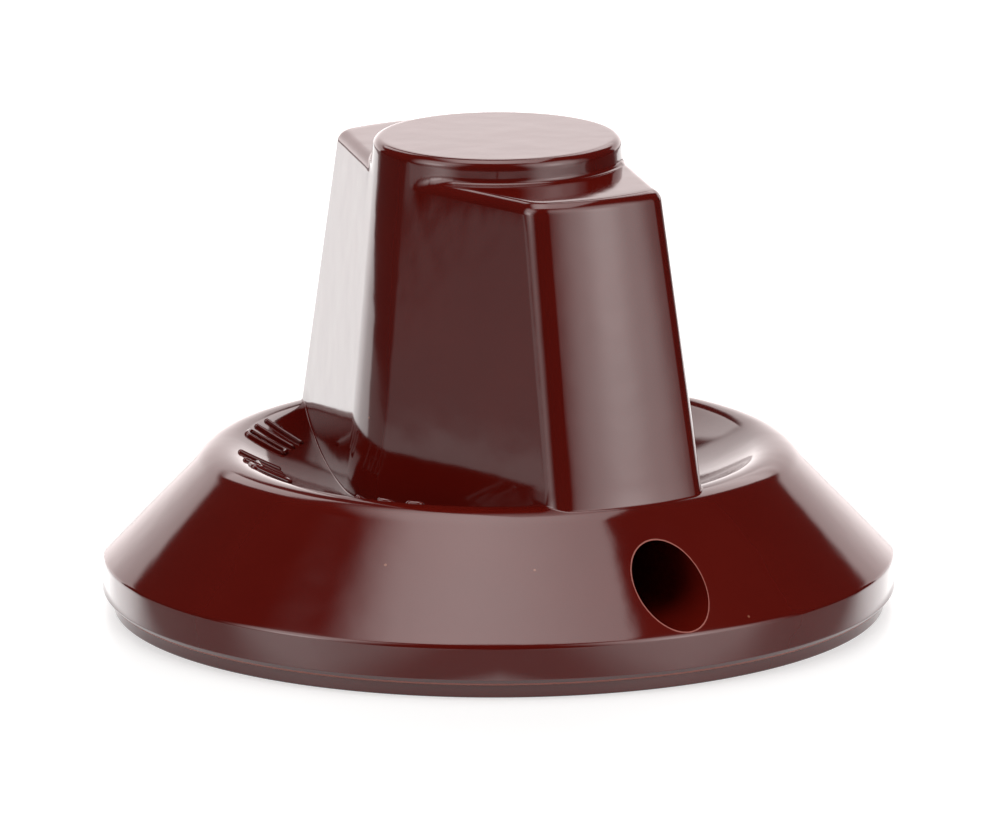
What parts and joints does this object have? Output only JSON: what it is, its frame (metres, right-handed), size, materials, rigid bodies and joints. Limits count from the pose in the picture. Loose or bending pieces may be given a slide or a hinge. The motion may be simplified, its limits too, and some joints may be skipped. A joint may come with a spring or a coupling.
{
  "type": "control knob",
  "caption": "Skirted rotary control knob with a tapered bar grip, a dished dial, a brass shaft bushing and a radial set screw.",
  "frame": {"origin": "on the shaft's axis in the plane of the foot ring, which faces the panel", "axes": "+Z along the shaft's axis, away from the panel; -Y towards the front wing and the set screw's tunnel"},
  "size_m": [0.0635, 0.0634, 0.0381],
  "materials": {
    "phenolic": "high gloss, deep maroon",
    "brass": "turned",
    "steel": "black oxide"
  },
  "bodies": {
    "knob": {"knob_body": "phenolic", "shaft_bushing": "brass"},
    "screw": {"set_screw": "steel"}
  },
  "joints": [
    {"name": "set_screw_travel", "type": "slide", "parent": "knob", "child": "screw", "axis": [0, -1, 0], "range_m": [-0.0018, 0.0025]}
  ]
}
